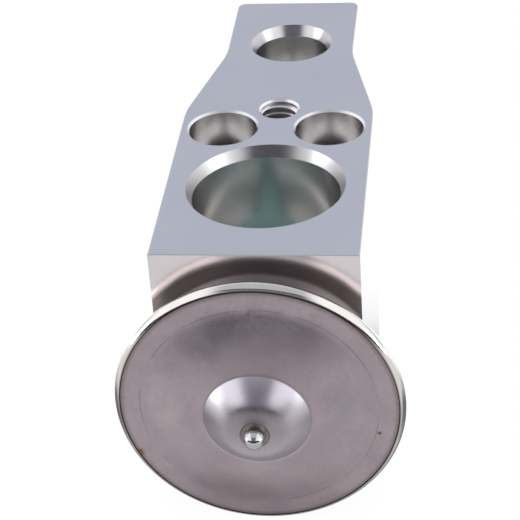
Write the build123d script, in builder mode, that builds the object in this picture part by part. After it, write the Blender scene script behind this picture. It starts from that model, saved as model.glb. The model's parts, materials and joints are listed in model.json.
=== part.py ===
from build123d import *
import os
from math import sqrt

# Block-type thermostatic expansion valve, in millimetres.
# The back face lies in the XY plane, +Z points out of the port face, and -Y to the power head.
# The origin is midway between the two mounting screws, on the back face.
# "Station" means a distance along the valve axis from the block's head end, positive into the block.

# Driving dimensions of the block
BLOCK_LENGTH = 73.6
BLOCK_WIDTH = 27.4
BLOCK_DEPTH = 38.0
AXIS_BELOW_PORT_FACE = 21.05
NECK_WIDTH = 19.3
SHOULDER_STATION = 38.0
NECK_STATION = 56.0
SHOULDER_BLEND = 18.0
FAR_CORNER_RADIUS = 1.3
EDGE_BREAK = 0.12

# Stations and radii of the ports and screw holes
SCREWS_STATION = 33.0
SCREW_SPACING = 15.28
SCREW_HOLE_RADIUS = 2.75
SCREW_HEAD_RADIUS = 4.87
SCREW_HEAD_DEPTH = 8.0
SCREW_HEAD_MOUTH = 0.3
SUCTION_STATION = 17.2
SUCTION_RADIUS = 10.16
SUCTION_SOCKET_DEPTH = 15.5
SUCTION_BACK_SOCKET_DEPTH = 12.0
SUCTION_PASSAGE_RADIUS = 9.4
PORT_MOUTH_DEPTH = 1.65
PORT_MOUTH_FLARE = 0.75
INLET_STATION = 59.5
INLET_RADIUS = 5.55
INLET_DEPTH = 12.0
INLET_PASSAGE_RADIUS = 2.6
OUTLET_STATION = 47.6
OUTLET_RADIUS = 6.9
OUTLET_DEPTH = 11.0
OUTLET_CHAMBER_RADIUS = 3.6
OUTLET_CHAMBER_RISE = 4.4
PLATE_SCREW_STATION = 38.5
PLATE_SCREW_RADIUS = 3.0
PLATE_SCREW_DEPTH = 14.0

# Bores along the valve axis
HEAD_THREAD_RADIUS = 10.0
HEAD_THREAD_DEPTH = 5.8
HEAD_SEAL_POCKET_RADIUS = 12.0
HEAD_SEAL_POCKET_DEPTH = 2.0
NECK_OPENING_RADIUS = 6.6
ROD_BORE_RADIUS = 3.2
ROD_BORE_END = 46.8
ROD_SEAL_POCKET_RADIUS = 4.2
ROD_SEAL_POCKET_END = 28.6
PIN_WAY_RADIUS = 2.6
SEAT_STATION = 52.0
SEAT_POCKET_RADIUS = 4.6
CHAMBER_STATION = 54.6
CHAMBER_RADIUS = 5.6
ADJUSTER_THREAD_STATION = 66.4
ADJUSTER_THREAD_RADIUS = 6.05

# Power head
HEAD_RADIUS = 19.35
COVER_RADIUS = 18.58
COVER_EDGE = 0.12
COVER_THICKNESS = 0.9
DIAPHRAGM_THICKNESS = 0.2
DIAPHRAGM_STATION = -3.7
BEAD_WIDTH = 2.1
DOME_RADIUS = 15.84
DOME_STATION = -4.88
CONE_RADIUS = 7.14
CONE_STATION = -7.11
TOP_RADIUS = 2.0
TOP_STATION = -10.5
CHARGE_HOLE_RADIUS = 1.05
CHARGE_LAND_STATION = -10.35
CHARGE_PLUG_RADIUS = 1.38
CHARGE_PLUG_STATION = -11.25

# Power element's moving stack
NECK_LENGTH = 5.4
NECK_BORE_RADIUS = 6.4
PAD_FLANGE_RADIUS = 11.6
PAD_FLANGE_THICKNESS = 1.35
PAD_STEM_RADIUS = 6.3
PAD_STEM_END = 4.4
ROD_RADIUS = 3.1
ROD_START = -0.5
ROD_END = 43.4
SLEEVE_RADIUS = 4.1
SLEEVE_END = 24.0
SLEEVE_END_RADIUS = 0.5
PIN_RADIUS = 1.0
PIN_GRIP = 4.0

# Valve, spring and adjuster
ORIFICE_RADIUS = 1.6
SEAT_CONE_DEPTH = 1.0
BALL_RADIUS = 2.4
SEAT_GAP = 0.06
CARRIER_RADIUS = 4.6
CARRIER_STEM_RADIUS = 2.4
CARRIER_FRONT = 56.2
CARRIER_FLANGE_END = 58.0
CARRIER_STEM_END = 62.0
DAMPER_BASE = 0.3
DAMPER_WALL = 0.25
DAMPER_RADIUS = 5.4
DAMPER_LENGTH = 2.6
DAMPER_LEGS = 6
SPRING_RADIUS = 3.2
SPRING_WIRE_RADIUS = 0.45
SPRING_TURNS = 5
SCREW_START = 62.6
SCREW_SHOULDER = 67.5
SCREW_END = 72.4
SCREW_PLAIN_RADIUS = 5.5
SCREW_THREAD_RADIUS = 5.95
SCREW_POCKET_RADIUS = 3.9
SCREW_POCKET_DEPTH = 4.5
SCREW_GROOVE_START = 63.6
SCREW_GROOVE_WIDTH = 1.4
SCREW_GROOVE_RADIUS = 4.5
HEX_ACROSS_FLATS = 5.0
HEX_DEPTH = 3.4

# Small clearances
PRESS_GAP = 0.02
SEAL_GAP = 0.05

# Planes and the axis that the turned pieces share
AXIS_HEIGHT = BLOCK_DEPTH - AXIS_BELOW_PORT_FACE


def at(station):
    """Y of a station on the valve axis."""
    return station - SCREWS_STATION


VALVE_AXIS = Axis((0, at(0), AXIS_HEIGHT), (0, 1, 0))
TURNING = Plane(origin=(0, at(0), AXIS_HEIGHT), x_dir=(0, 1, 0), z_dir=(1, 0, 0))
HEAD_END = Plane(origin=(0, at(0), AXIS_HEIGHT), x_dir=(1, 0, 0), z_dir=(0, -1, 0))
FAR_END = Plane(origin=(0, at(BLOCK_LENGTH), AXIS_HEIGHT), x_dir=(1, 0, 0), z_dir=(0, 1, 0))


def on_port_face(station, x=0):
    """Plane on the port face, looking out of the block, over a station."""
    return Plane(origin=(x, at(station), BLOCK_DEPTH), x_dir=(1, 0, 0), z_dir=(0, 0, 1))


def on_back_face(station, x=0):
    """Plane on the back face, looking out of the block, under a station."""
    return Plane(origin=(x, at(station), 0), x_dir=(1, 0, 0), z_dir=(0, 0, -1))


def cut_socket(face, radius, depth, flare=PORT_MOUTH_FLARE, mouth_depth=PORT_MOUTH_DEPTH):
    """Cut a round socket with a lead-in cone into the block, down from a face plane."""
    with Locations(face):
        Hole(radius=radius, depth=depth)
        Cone(
            bottom_radius=radius,
            top_radius=radius + flare,
            height=mouth_depth,
            align=(Align.CENTER, Align.CENTER, Align.MAX),
            mode=Mode.SUBTRACT,
        )


def bore_from(face, radius, depth):
    """Cut a plain bore of a given depth down from a face plane."""
    with Locations(face):
        Hole(radius=radius, depth=depth)


# Valve block
with BuildPart() as valve_block:
    with BuildSketch(Plane.XY) as outline:
        with BuildLine() as side:
            Polyline(
                (0, at(0)),
                (BLOCK_WIDTH / 2, at(0)),
                (BLOCK_WIDTH / 2, at(SHOULDER_STATION)),
                (NECK_WIDTH / 2, at(NECK_STATION)),
                (NECK_WIDTH / 2, at(BLOCK_LENGTH)),
                (0, at(BLOCK_LENGTH)),
            )
            mirror(about=Plane.YZ)
        make_face()
        shoulder_corners = outline.vertices().filter_by_position(
            Axis.Y, at(SHOULDER_STATION), at(NECK_STATION)
        )
        fillet(shoulder_corners, SHOULDER_BLEND)
        far_corners = outline.vertices().group_by(Axis.Y)[-1].sort_by(Axis.X)
        fillet([far_corners[0], far_corners[-1]], FAR_CORNER_RADIUS)
    extrude(amount=BLOCK_DEPTH)
    rims = valve_block.faces().filter_by(Axis.Z).edges()
    chamfer(rims, EDGE_BREAK)

    # Suction passage with a socket in each face
    bore_from(on_port_face(SUCTION_STATION), SUCTION_PASSAGE_RADIUS, BLOCK_DEPTH)
    cut_socket(on_port_face(SUCTION_STATION), SUCTION_RADIUS, SUCTION_SOCKET_DEPTH)
    cut_socket(on_back_face(SUCTION_STATION), SUCTION_RADIUS, SUCTION_BACK_SOCKET_DEPTH)

    # Liquid inlet in the port face, outlet to the evaporator in the back face
    cut_socket(on_port_face(INLET_STATION), INLET_RADIUS, INLET_DEPTH)
    bore_from(on_port_face(INLET_STATION), INLET_PASSAGE_RADIUS, AXIS_BELOW_PORT_FACE)
    cut_socket(on_back_face(OUTLET_STATION), OUTLET_RADIUS, OUTLET_DEPTH)
    bore_from(
        on_back_face(OUTLET_STATION), OUTLET_CHAMBER_RADIUS, AXIS_HEIGHT + OUTLET_CHAMBER_RISE
    )

    # Two mounting screw holes with sunk heads
    for side_x in (-SCREW_SPACING / 2, SCREW_SPACING / 2):
        bore_from(on_port_face(SCREWS_STATION, side_x), SCREW_HOLE_RADIUS, BLOCK_DEPTH)
        cut_socket(
            on_port_face(SCREWS_STATION, side_x),
            SCREW_HEAD_RADIUS,
            SCREW_HEAD_DEPTH,
            SCREW_HEAD_MOUTH,
            SCREW_HEAD_MOUTH,
        )

    # Blind threaded hole for the pipe plate's screw
    bore_from(on_port_face(PLATE_SCREW_STATION), PLATE_SCREW_RADIUS, PLATE_SCREW_DEPTH)

    # Bores along the valve axis, from the head end
    bore_from(HEAD_END, HEAD_SEAL_POCKET_RADIUS, HEAD_SEAL_POCKET_DEPTH)
    bore_from(HEAD_END, HEAD_THREAD_RADIUS, HEAD_THREAD_DEPTH)
    bore_from(HEAD_END, NECK_OPENING_RADIUS, SUCTION_STATION)
    bore_from(HEAD_END, ROD_SEAL_POCKET_RADIUS, ROD_SEAL_POCKET_END)
    bore_from(HEAD_END, ROD_BORE_RADIUS, ROD_BORE_END)

    # Bores along the valve axis, from the far end
    bore_from(FAR_END, ADJUSTER_THREAD_RADIUS, BLOCK_LENGTH - ADJUSTER_THREAD_STATION)
    bore_from(FAR_END, CHAMBER_RADIUS, BLOCK_LENGTH - CHAMBER_STATION)
    bore_from(FAR_END, SEAT_POCKET_RADIUS, BLOCK_LENGTH - SEAT_STATION)
    bore_from(FAR_END, PIN_WAY_RADIUS, BLOCK_LENGTH - OUTLET_STATION)
valve_block.part.label = "valve_block"


# Power head: the upper cover is a pressed dome with a raised cone that holds the charging hole
FLANGE_TOP = DIAPHRAGM_STATION - DIAPHRAGM_THICKNESS
COVER_FACE_STATION = FLANGE_TOP - COVER_THICKNESS
INNER_DOME_RADIUS = DOME_RADIUS - 0.44
INNER_CONE_RADIUS = CONE_RADIUS - 0.27
INNER_CONE_STATION = CONE_STATION + 1.08
INNER_TOP_STATION = TOP_STATION + 1.1
with BuildPart() as head_upper_cover:
    with BuildSketch(TURNING) as cover_section:
        with BuildLine():
            Polyline(
                (INNER_TOP_STATION, CHARGE_HOLE_RADIUS),
                (CHARGE_LAND_STATION, CHARGE_HOLE_RADIUS),
                (CHARGE_LAND_STATION, TOP_RADIUS - 0.2),
                (TOP_STATION, TOP_RADIUS),
            )
            ThreePointArc((TOP_STATION, TOP_RADIUS), (-9.06, 4.72), (CONE_STATION, CONE_RADIUS))
            ThreePointArc((CONE_STATION, CONE_RADIUS), (-6.11, 11.5), (DOME_STATION, DOME_RADIUS))
            Polyline(
                (DOME_STATION, DOME_RADIUS),
                (COVER_FACE_STATION, COVER_RADIUS - COVER_EDGE),
                (COVER_FACE_STATION + COVER_EDGE, COVER_RADIUS),
                (FLANGE_TOP, COVER_RADIUS),
                (FLANGE_TOP, INNER_DOME_RADIUS),
            )
            ThreePointArc(
                (FLANGE_TOP, INNER_DOME_RADIUS), (-5.05, 11.1), (INNER_CONE_STATION, INNER_CONE_RADIUS)
            )
            ThreePointArc(
                (INNER_CONE_STATION, INNER_CONE_RADIUS),
                (-7.95, 4.2),
                (INNER_TOP_STATION, CHARGE_HOLE_RADIUS),
            )
        make_face()
    revolve(axis=VALVE_AXIS)
head_upper_cover.part.label = "head_upper_cover"


# Steel ball that closes the charging hole
with BuildPart() as charge_plug:
    with Locations((0, at(CHARGE_PLUG_STATION), AXIS_HEIGHT)):
        Sphere(CHARGE_PLUG_RADIUS)
charge_plug.part.label = "charge_plug"


# Diaphragm: a thin disc, flat on the pad and between the flanges, with two rings pressed into it
RING_FOOT = 0.25
RING_DROP = 0.5
CLAMP_RADIUS = 15.2
RING_START = PAD_FLANGE_RADIUS + 0.1
RING_WIDTH = (CLAMP_RADIUS - RING_START - 2 * RING_FOOT) / 2
with BuildPart() as diaphragm:
    with BuildSketch(TURNING) as disc_section:
        with BuildLine():
            first = RING_START + RING_FOOT
            second = first + RING_WIDTH
            third = second + RING_WIDTH
            Line((DIAPHRAGM_STATION, 0), (DIAPHRAGM_STATION, first))
            ThreePointArc(
                (DIAPHRAGM_STATION, first),
                (DIAPHRAGM_STATION + RING_DROP, (first + second) / 2),
                (DIAPHRAGM_STATION, second),
            )
            ThreePointArc(
                (DIAPHRAGM_STATION, second),
                (DIAPHRAGM_STATION + RING_DROP, (second + third) / 2),
                (DIAPHRAGM_STATION, third),
            )
            Line((DIAPHRAGM_STATION, third), (DIAPHRAGM_STATION, COVER_RADIUS))
            top = FLANGE_TOP
            Line((DIAPHRAGM_STATION, COVER_RADIUS), (top, COVER_RADIUS))
            Line((top, COVER_RADIUS), (top, third))
            ThreePointArc((top, third), (top + RING_DROP, (second + third) / 2), (top, second))
            ThreePointArc((top, second), (top + RING_DROP, (first + second) / 2), (top, first))
            Polyline((top, first), (top, 0), (DIAPHRAGM_STATION, 0))
        make_face()
    revolve(axis=VALVE_AXIS)
diaphragm.part.label = "diaphragm"


# Lower cover: flange, dish and the neck that screws into the block
FLANGE_BACK = DIAPHRAGM_STATION + COVER_THICKNESS
DISH_FLOOR = -1.3
DISH_FLOOR_RADIUS = 12.4
FOOT_RADIUS = 12.9
NECK_RADIUS = HEAD_THREAD_RADIUS - 2 * SEAL_GAP
with BuildPart() as head_lower_cover:
    with BuildSketch(TURNING) as dish_section:
        with BuildLine():
            Polyline(
                (DIAPHRAGM_STATION, COVER_RADIUS),
                (DIAPHRAGM_STATION, CLAMP_RADIUS),
                (DISH_FLOOR, DISH_FLOOR_RADIUS),
                (DISH_FLOOR, NECK_BORE_RADIUS),
                (NECK_LENGTH, NECK_BORE_RADIUS),
                (NECK_LENGTH, NECK_RADIUS - 0.5),
                (NECK_LENGTH - 0.5, NECK_RADIUS),
                (0, NECK_RADIUS),
                (0, FOOT_RADIUS),
                (FLANGE_BACK - 0.25, CLAMP_RADIUS + 0.9),
                (FLANGE_BACK, CLAMP_RADIUS + 1.5),
                (FLANGE_BACK, COVER_RADIUS - COVER_EDGE),
                (FLANGE_BACK - COVER_EDGE, COVER_RADIUS),
                close=True,
            )
        make_face()
    revolve(axis=VALVE_AXIS)
head_lower_cover.part.label = "head_lower_cover"


# Weld bead round both flanges and the diaphragm, half round in section
BEAD_MIDDLE = DIAPHRAGM_STATION - DIAPHRAGM_THICKNESS / 2
with BuildPart() as rim_weld:
    with BuildSketch(TURNING) as bead_section:
        with BuildLine():
            inner = COVER_RADIUS + PRESS_GAP
            front, back = BEAD_MIDDLE - BEAD_WIDTH / 2, BEAD_MIDDLE + BEAD_WIDTH / 2
            ThreePointArc((front, inner), (BEAD_MIDDLE, HEAD_RADIUS), (back, inner))
            Line((back, inner), (front, inner))
        make_face()
    revolve(axis=VALVE_AXIS)
rim_weld.part.label = "rim_weld"


def seal_ring(station, inside, outside):
    """A rubber ring round the valve axis that just clears both radii it seals between."""
    section_radius = (outside - inside) / 2 - SEAL_GAP
    with BuildPart() as ring:
        with BuildSketch(TURNING):
            with Locations((station, (inside + outside) / 2)):
                Circle(section_radius)
        revolve(axis=VALVE_AXIS)
    return ring


head_seal = seal_ring(HEAD_SEAL_POCKET_DEPTH / 2, NECK_RADIUS, HEAD_SEAL_POCKET_RADIUS)
head_seal.part.label = "head_seal"


# Pad under the diaphragm: flange, guided stem, and flats that let the suction pressure past it
FLAT_DEPTH = 0.9
FLAT_COUNT = 3
with BuildPart() as diaphragm_pad:
    with BuildSketch(TURNING) as pad_section:
        with BuildLine():
            flange_back = DIAPHRAGM_STATION + PAD_FLANGE_THICKNESS
            Polyline(
                (DIAPHRAGM_STATION, 0),
                (DIAPHRAGM_STATION, PAD_FLANGE_RADIUS - 0.3),
                (DIAPHRAGM_STATION + 0.3, PAD_FLANGE_RADIUS),
                (flange_back, PAD_FLANGE_RADIUS),
                (flange_back, PAD_STEM_RADIUS),
                (PAD_STEM_END, PAD_STEM_RADIUS),
                (PAD_STEM_END, ROD_RADIUS + PRESS_GAP),
                (ROD_START, ROD_RADIUS + PRESS_GAP),
                (ROD_START, 0),
                close=True,
            )
        make_face()
    revolve(axis=VALVE_AXIS)
    stem_end = Plane(origin=(0, at(PAD_STEM_END), AXIS_HEIGHT), x_dir=(1, 0, 0), z_dir=(0, 1, 0))
    with BuildSketch(stem_end) as flats:
        with PolarLocations(PAD_STEM_RADIUS - FLAT_DEPTH, FLAT_COUNT, start_angle=90):
            Rectangle(2 * FLAT_DEPTH, 2 * PAD_STEM_RADIUS, align=(Align.MIN, Align.CENTER))
    extrude(amount=flange_back - PAD_STEM_END, mode=Mode.SUBTRACT)
diaphragm_pad.part.label = "diaphragm_pad"


# Heat-sensing rod, with a blind hole for the push pin
with BuildPart() as sensing_rod:
    with BuildSketch(TURNING) as rod_section:
        with BuildLine():
            Polyline(
                (ROD_START, 0),
                (ROD_START, ROD_RADIUS),
                (ROD_END - 0.5, ROD_RADIUS),
                (ROD_END, ROD_RADIUS - 0.5),
                (ROD_END, PIN_RADIUS + PRESS_GAP),
                (ROD_END - PIN_GRIP, PIN_RADIUS + PRESS_GAP),
                (ROD_END - PIN_GRIP, 0),
                close=True,
            )
        make_face()
    revolve(axis=VALVE_AXIS)
sensing_rod.part.label = "sensing_rod"


# Plastic sleeve on the rod, with a rounded free end
with BuildPart() as rod_sleeve:
    with BuildSketch(TURNING) as sleeve_section:
        with Locations((PAD_STEM_END, ROD_RADIUS + PRESS_GAP)):
            Rectangle(
                SLEEVE_END - PAD_STEM_END,
                SLEEVE_RADIUS - ROD_RADIUS - PRESS_GAP,
                align=(Align.MIN, Align.MIN),
            )
        free_edge = sleeve_section.vertices().sort_by(Axis.Y)[-2:].sort_by(Axis.Z)[-1]
        fillet(free_edge, SLEEVE_END_RADIUS)
    revolve(axis=VALVE_AXIS)
rod_sleeve.part.label = "rod_sleeve"


# Push pin, held in the rod and reaching through the orifice to the ball
BALL_STATION = (
    CHAMBER_STATION - SEAT_CONE_DEPTH - ORIFICE_RADIUS + BALL_RADIUS * sqrt(2) + SEAT_GAP
)
with BuildPart() as push_pin:
    pin_start = ROD_END - PIN_GRIP
    pin_plane = Plane(origin=(0, at(pin_start), AXIS_HEIGHT), x_dir=(1, 0, 0), z_dir=(0, 1, 0))
    with Locations(pin_plane):
        Cylinder(
            PIN_RADIUS,
            BALL_STATION - BALL_RADIUS - pin_start,
            align=(Align.CENTER, Align.CENTER, Align.MIN),
        )
push_pin.part.label = "push_pin"


rod_seal = seal_ring(
    ROD_SEAL_POCKET_END - (ROD_SEAL_POCKET_RADIUS - ROD_RADIUS) / 2,
    ROD_RADIUS,
    ROD_SEAL_POCKET_RADIUS,
)
rod_seal.part.label = "rod_seal"


# Ring that keeps the rod seal in its pocket, slotted so that it springs in
RETAINER_WIDTH = 0.7
RETAINER_SLOT = 0.8
with BuildPart() as seal_retainer:
    retainer_end = ROD_SEAL_POCKET_END - (ROD_SEAL_POCKET_RADIUS - ROD_RADIUS)
    retainer_plane = Plane(
        origin=(0, at(retainer_end - RETAINER_WIDTH), AXIS_HEIGHT), x_dir=(1, 0, 0), z_dir=(0, 1, 0)
    )
    with BuildSketch(retainer_plane) as ring_outline:
        Circle(ROD_SEAL_POCKET_RADIUS - PRESS_GAP)
        Circle(ROD_RADIUS + 4 * SEAL_GAP, mode=Mode.SUBTRACT)
        Rectangle(
            ROD_SEAL_POCKET_RADIUS + 1,
            RETAINER_SLOT,
            align=(Align.MIN, Align.CENTER),
            mode=Mode.SUBTRACT,
        )
    extrude(amount=RETAINER_WIDTH)
seal_retainer.part.label = "seal_retainer"


# Seat ring: orifice and conical seat, pressed against the floor of its pocket
with BuildPart() as seat_ring:
    with BuildSketch(TURNING) as seat_section:
        with BuildLine():
            Polyline(
                (SEAT_STATION, ORIFICE_RADIUS),
                (SEAT_STATION, SEAT_POCKET_RADIUS - PRESS_GAP),
                (CHAMBER_STATION, SEAT_POCKET_RADIUS - PRESS_GAP),
                (CHAMBER_STATION, ORIFICE_RADIUS + SEAT_CONE_DEPTH),
                (CHAMBER_STATION - SEAT_CONE_DEPTH, ORIFICE_RADIUS),
                close=True,
            )
        make_face()
    revolve(axis=VALVE_AXIS)
seat_ring.part.label = "seat_ring"


# Valve ball
with BuildPart() as valve_ball:
    with Locations((0, at(BALL_STATION), AXIS_HEIGHT)):
        Sphere(BALL_RADIUS)
valve_ball.part.label = "valve_ball"


# Ball carrier: a cone that holds the ball, a flange for the spring and a stem inside the spring
with BuildPart() as ball_carrier:
    cone_tip = BALL_STATION + BALL_RADIUS * sqrt(2)
    with BuildSketch(TURNING) as carrier_section:
        with BuildLine():
            Polyline(
                (cone_tip, 0),
                (CARRIER_FRONT, cone_tip - CARRIER_FRONT),
                (CARRIER_FRONT, CARRIER_RADIUS - 0.6),
                (CARRIER_FRONT + 0.6, CARRIER_RADIUS),
                (CARRIER_FLANGE_END, CARRIER_RADIUS),
                (CARRIER_FLANGE_END, CARRIER_STEM_RADIUS),
                (CARRIER_STEM_END - 0.6, CARRIER_STEM_RADIUS),
                (CARRIER_STEM_END, CARRIER_STEM_RADIUS - 0.6),
                (CARRIER_STEM_END, 0),
                close=True,
            )
        make_face()
    revolve(axis=VALVE_AXIS)
ball_carrier.part.label = "ball_carrier"


# Damper ring: a washer under the spring with bent legs that brush the chamber wall
LEG_GAP = 1.6
with BuildPart() as damper_ring:
    base_plane = Plane(
        origin=(0, at(CARRIER_FLANGE_END), AXIS_HEIGHT), x_dir=(1, 0, 0), z_dir=(0, 1, 0)
    )
    with BuildSketch(base_plane) as base:
        Circle(DAMPER_RADIUS)
        Circle(CARRIER_STEM_RADIUS + SEAL_GAP, mode=Mode.SUBTRACT)
    extrude(amount=DAMPER_BASE)
    with BuildSketch(base_plane) as wall:
        Circle(DAMPER_RADIUS)
        Circle(DAMPER_RADIUS - DAMPER_WALL, mode=Mode.SUBTRACT)
    extrude(amount=DAMPER_LENGTH)
    with BuildSketch(base_plane.offset(DAMPER_BASE)) as gaps:
        with PolarLocations(DAMPER_RADIUS, DAMPER_LEGS):
            Rectangle(4 * DAMPER_WALL, LEG_GAP)
    extrude(amount=DAMPER_LENGTH, mode=Mode.SUBTRACT)
damper_ring.part.label = "damper_ring"


# Closing spring between the damper ring and the floor of the screw's pocket
SCREW_POCKET_FLOOR = SCREW_START + SCREW_POCKET_DEPTH
SPRING_START = CARRIER_FLANGE_END + DAMPER_BASE
SPRING_LENGTH = SCREW_POCKET_FLOOR - SPRING_START
with BuildPart() as valve_spring:
    coil_length = SPRING_LENGTH - 2 * SPRING_WIRE_RADIUS
    with BuildLine() as coil:
        Helix(
            pitch=coil_length / SPRING_TURNS,
            height=coil_length,
            radius=SPRING_RADIUS,
            center=(0, at(SPRING_START + SPRING_WIRE_RADIUS), AXIS_HEIGHT),
            direction=(0, 1, 0),
        )
    with BuildSketch(Plane(origin=coil.line @ 0, z_dir=coil.line % 0)) as wire:
        Circle(SPRING_WIRE_RADIUS)
    sweep()
valve_spring.part.label = "valve_spring"


# Adjusting screw: spring pocket inside, seal groove, thread and a hexagon socket outside
SCREW_EDGE = 0.4
with BuildPart() as adjusting_screw:
    with BuildSketch(TURNING) as screw_section:
        with BuildLine():
            Polyline(
                (SCREW_POCKET_FLOOR, 0),
                (SCREW_POCKET_FLOOR, SCREW_POCKET_RADIUS),
                (SCREW_START, SCREW_POCKET_RADIUS),
                (SCREW_START, SCREW_PLAIN_RADIUS - SCREW_EDGE),
                (SCREW_START + SCREW_EDGE, SCREW_PLAIN_RADIUS),
                (SCREW_GROOVE_START, SCREW_PLAIN_RADIUS),
                (SCREW_GROOVE_START, SCREW_GROOVE_RADIUS),
                (SCREW_GROOVE_START + SCREW_GROOVE_WIDTH, SCREW_GROOVE_RADIUS),
                (SCREW_GROOVE_START + SCREW_GROOVE_WIDTH, SCREW_PLAIN_RADIUS),
                (SCREW_SHOULDER, SCREW_PLAIN_RADIUS),
                (SCREW_SHOULDER, SCREW_THREAD_RADIUS),
                (SCREW_END - SCREW_EDGE, SCREW_THREAD_RADIUS),
                (SCREW_END, SCREW_THREAD_RADIUS - SCREW_EDGE),
                (SCREW_END, 0),
                close=True,
            )
        make_face()
    revolve(axis=VALVE_AXIS)
    screw_face = Plane(origin=(0, at(SCREW_END), AXIS_HEIGHT), x_dir=(1, 0, 0), z_dir=(0, 1, 0))
    with BuildSketch(screw_face) as hexagon:
        RegularPolygon(HEX_ACROSS_FLATS / 2, 6, major_radius=False)
    extrude(amount=-HEX_DEPTH, mode=Mode.SUBTRACT)
adjusting_screw.part.label = "adjusting_screw"


screw_seal = seal_ring(
    SCREW_GROOVE_START + SCREW_GROOVE_WIDTH / 2, SCREW_GROOVE_RADIUS, CHAMBER_RADIUS
)
screw_seal.part.label = "screw_seal"


os.makedirs("parts", exist_ok=True)
export_step(valve_block.part, "parts/valve_block.step")
export_step(head_upper_cover.part, "parts/head_upper_cover.step")
export_step(charge_plug.part, "parts/charge_plug.step")
export_step(diaphragm.part, "parts/diaphragm.step")
export_step(head_lower_cover.part, "parts/head_lower_cover.step")
export_step(rim_weld.part, "parts/rim_weld.step")
export_step(head_seal.part, "parts/head_seal.step")
export_step(diaphragm_pad.part, "parts/diaphragm_pad.step")
export_step(sensing_rod.part, "parts/sensing_rod.step")
export_step(rod_sleeve.part, "parts/rod_sleeve.step")
export_step(push_pin.part, "parts/push_pin.step")
export_step(rod_seal.part, "parts/rod_seal.step")
export_step(seal_retainer.part, "parts/seal_retainer.step")
export_step(seat_ring.part, "parts/seat_ring.step")
export_step(valve_ball.part, "parts/valve_ball.step")
export_step(ball_carrier.part, "parts/ball_carrier.step")
export_step(damper_ring.part, "parts/damper_ring.step")
export_step(valve_spring.part, "parts/valve_spring.step")
export_step(adjusting_screw.part, "parts/adjusting_screw.step")
export_step(screw_seal.part, "parts/screw_seal.step")
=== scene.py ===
"""Looks of a block-type thermostatic expansion valve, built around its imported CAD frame.

The valve lies on its back with its power head towards the camera. The frame holds the shapes and
sizes. This script gives each surface its finish and adds the fine thread of the plate screw hole
and the slight swell of the head's cone. It shows the closing spring as two halves, so that it
follows both joints, and sets the floor, the light and the camera. Fields of the classes are in
millimetres, and MM turns them into the frame's metres.
"""

import json
import logging
import math
from collections.abc import Iterable
from dataclasses import dataclass, field, replace
from enum import IntEnum

import bmesh
import bpy
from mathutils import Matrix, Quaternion, Vector
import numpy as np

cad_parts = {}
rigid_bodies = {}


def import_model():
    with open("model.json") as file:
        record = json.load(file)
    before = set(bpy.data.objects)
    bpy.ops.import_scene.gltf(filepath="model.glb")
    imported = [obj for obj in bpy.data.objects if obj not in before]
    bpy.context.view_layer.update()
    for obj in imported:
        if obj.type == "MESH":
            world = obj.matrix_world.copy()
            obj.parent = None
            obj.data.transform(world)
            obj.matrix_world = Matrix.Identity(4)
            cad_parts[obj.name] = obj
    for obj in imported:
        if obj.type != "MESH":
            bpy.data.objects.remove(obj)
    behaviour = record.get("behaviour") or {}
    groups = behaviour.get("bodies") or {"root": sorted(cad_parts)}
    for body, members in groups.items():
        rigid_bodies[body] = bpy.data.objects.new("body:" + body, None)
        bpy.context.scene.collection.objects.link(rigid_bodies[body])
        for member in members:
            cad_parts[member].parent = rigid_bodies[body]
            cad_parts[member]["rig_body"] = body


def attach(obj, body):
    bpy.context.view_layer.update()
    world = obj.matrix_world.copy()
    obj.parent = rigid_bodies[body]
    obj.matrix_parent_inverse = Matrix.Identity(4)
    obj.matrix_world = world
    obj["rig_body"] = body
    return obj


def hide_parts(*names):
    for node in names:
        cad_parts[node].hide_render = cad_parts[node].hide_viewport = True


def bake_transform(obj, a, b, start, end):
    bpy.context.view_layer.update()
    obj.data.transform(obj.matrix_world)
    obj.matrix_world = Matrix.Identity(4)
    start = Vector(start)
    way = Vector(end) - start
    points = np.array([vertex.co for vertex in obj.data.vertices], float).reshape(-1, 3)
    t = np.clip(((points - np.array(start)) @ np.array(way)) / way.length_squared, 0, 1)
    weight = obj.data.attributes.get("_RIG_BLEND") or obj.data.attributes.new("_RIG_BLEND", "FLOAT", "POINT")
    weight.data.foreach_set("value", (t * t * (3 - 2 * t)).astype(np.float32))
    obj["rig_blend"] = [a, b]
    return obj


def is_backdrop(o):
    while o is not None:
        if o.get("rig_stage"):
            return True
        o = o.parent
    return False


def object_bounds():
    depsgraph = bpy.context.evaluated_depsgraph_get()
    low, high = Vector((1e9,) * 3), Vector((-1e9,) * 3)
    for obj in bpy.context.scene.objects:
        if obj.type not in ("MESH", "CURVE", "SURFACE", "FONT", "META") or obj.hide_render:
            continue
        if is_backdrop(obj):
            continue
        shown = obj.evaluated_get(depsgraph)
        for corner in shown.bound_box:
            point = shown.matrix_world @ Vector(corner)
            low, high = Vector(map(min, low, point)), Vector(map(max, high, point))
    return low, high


MM = 0.001
AXIS_HEIGHT = 16.95
HEAD_END_Y = -33.0
FAR_END_Y = 40.6
BLOCK_DEPTH = 38.0
CONE_FOOT_RADIUS = 7.1
PATCH_CORE = 0.25

Colour = tuple[float, float, float]
Place = tuple[float, float, float]
Section = tuple[tuple[float, float], ...]
Socket = bpy.types.NodeSocket

# Dark tone of the cloudy patches on the disc, also used as painted shade in the cone's crease and along the
# pressed ring.
PATCH_AND_SHADE_COLOUR: Colour = (0.24, 0.225, 0.245)

log = logging.getLogger("valve")


@dataclass(frozen=True)
class Step:
    """A smooth step between two limits, with its results below and above them."""

    low: float
    high: float
    start: float = 0.0
    end: float = 1.0


NOISE_BAND = Step(0.3, 0.7)


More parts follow.
